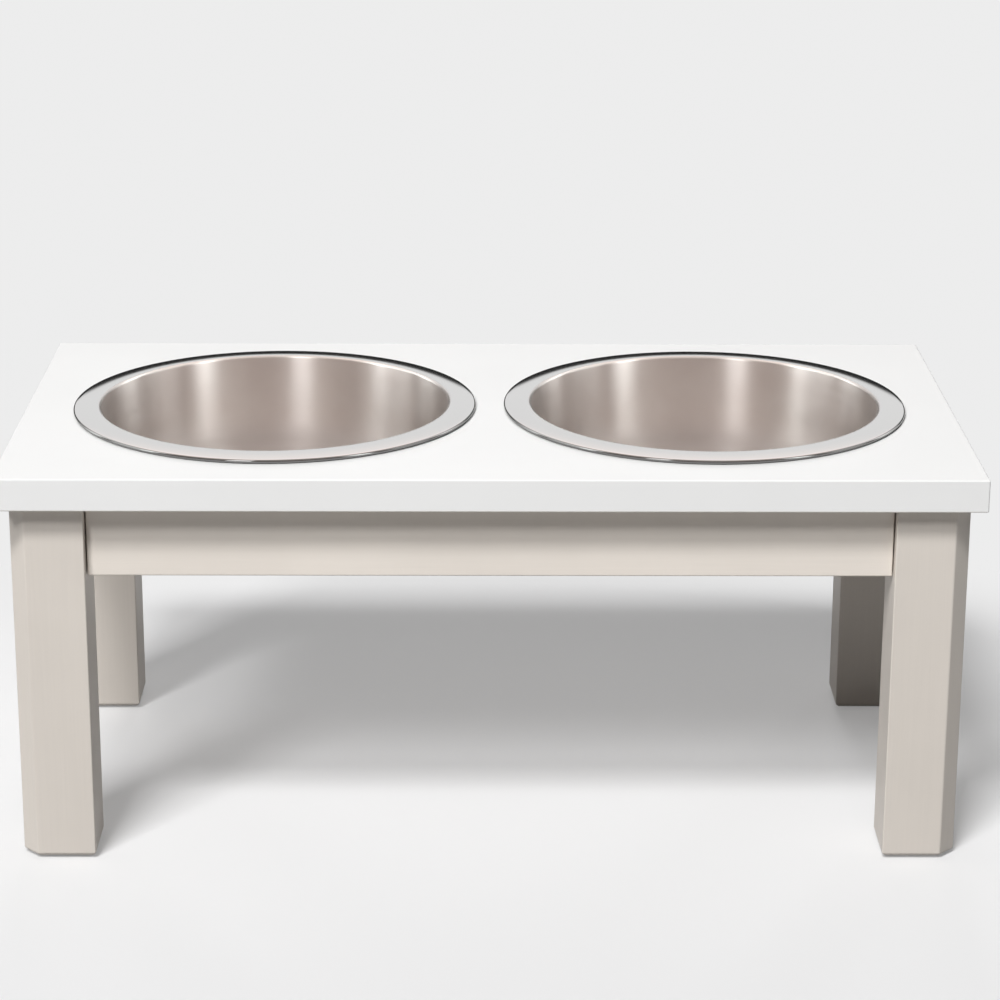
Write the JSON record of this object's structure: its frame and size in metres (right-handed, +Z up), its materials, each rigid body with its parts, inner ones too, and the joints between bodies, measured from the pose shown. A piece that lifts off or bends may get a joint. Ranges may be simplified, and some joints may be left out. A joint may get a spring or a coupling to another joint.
{
  "type": "elevated dog feeder",
  "caption": "Raised dog feeder: a white tabletop on chamfered taupe legs, with lift-out stainless bowls hanging by their rims in round cut-outs.",
  "frame": {"origin": "on the floor under the middle of the tabletop", "axes": "+X along the length to the right as seen from the front, +Y to the back, +Z up"},
  "size_m": [0.559, 0.3, 0.2396],
  "materials": {
    "white_paint": "satin white paint on fibreboard",
    "taupe_paint": "satin taupe paint on solid wood",
    "bare_wood": "planed, unpainted softwood",
    "dowel_wood": "fluted beech",
    "bowl_steel": "spun and brushed stainless steel, polished rim",
    "zinc_steel": "bright zinc plate",
    "foot_rubber": "matte black rubber"
  },
  "bodies": {
    "stand": {"tabletop": "white_paint", "front_rail": "taupe_paint", "back_rail": "taupe_paint", "left_rail": "taupe_paint", "right_rail": "taupe_paint", "leg_front_left": "taupe_paint", "leg_front_right": "taupe_paint", "leg_back_left": "taupe_paint", "leg_back_right": "taupe_paint", "corner_block_front_left": "bare_wood", "corner_block_front_right": "bare_wood", "corner_block_back_left": "bare_wood", "corner_block_back_right": "bare_wood", "foot_pad_front_left": "foot_rubber", "foot_pad_front_right": "foot_rubber", "foot_pad_back_left": "foot_rubber", "foot_pad_back_right": "foot_rubber", "hanger_bolts": "zinc_steel", "bolt_washers": "zinc_steel", "hex_nuts": "zinc_steel", "rail_dowels": "dowel_wood", "block_screws": "zinc_steel", "top_screws": "zinc_steel"},
    "bowl_left": {"bowl_left": "bowl_steel"},
    "bowl_right": {"bowl_right": "bowl_steel"}
  },
  "joints": [
    {"name": "bowl_left_lift", "type": "slide", "parent": "stand", "child": "bowl_left", "axis": [0, 0, 1], "range_m": [0, 0.1]},
    {"name": "bowl_right_lift", "type": "slide", "parent": "stand", "child": "bowl_right", "axis": [0, 0, 1], "range_m": [0, 0.1]}
  ]
}
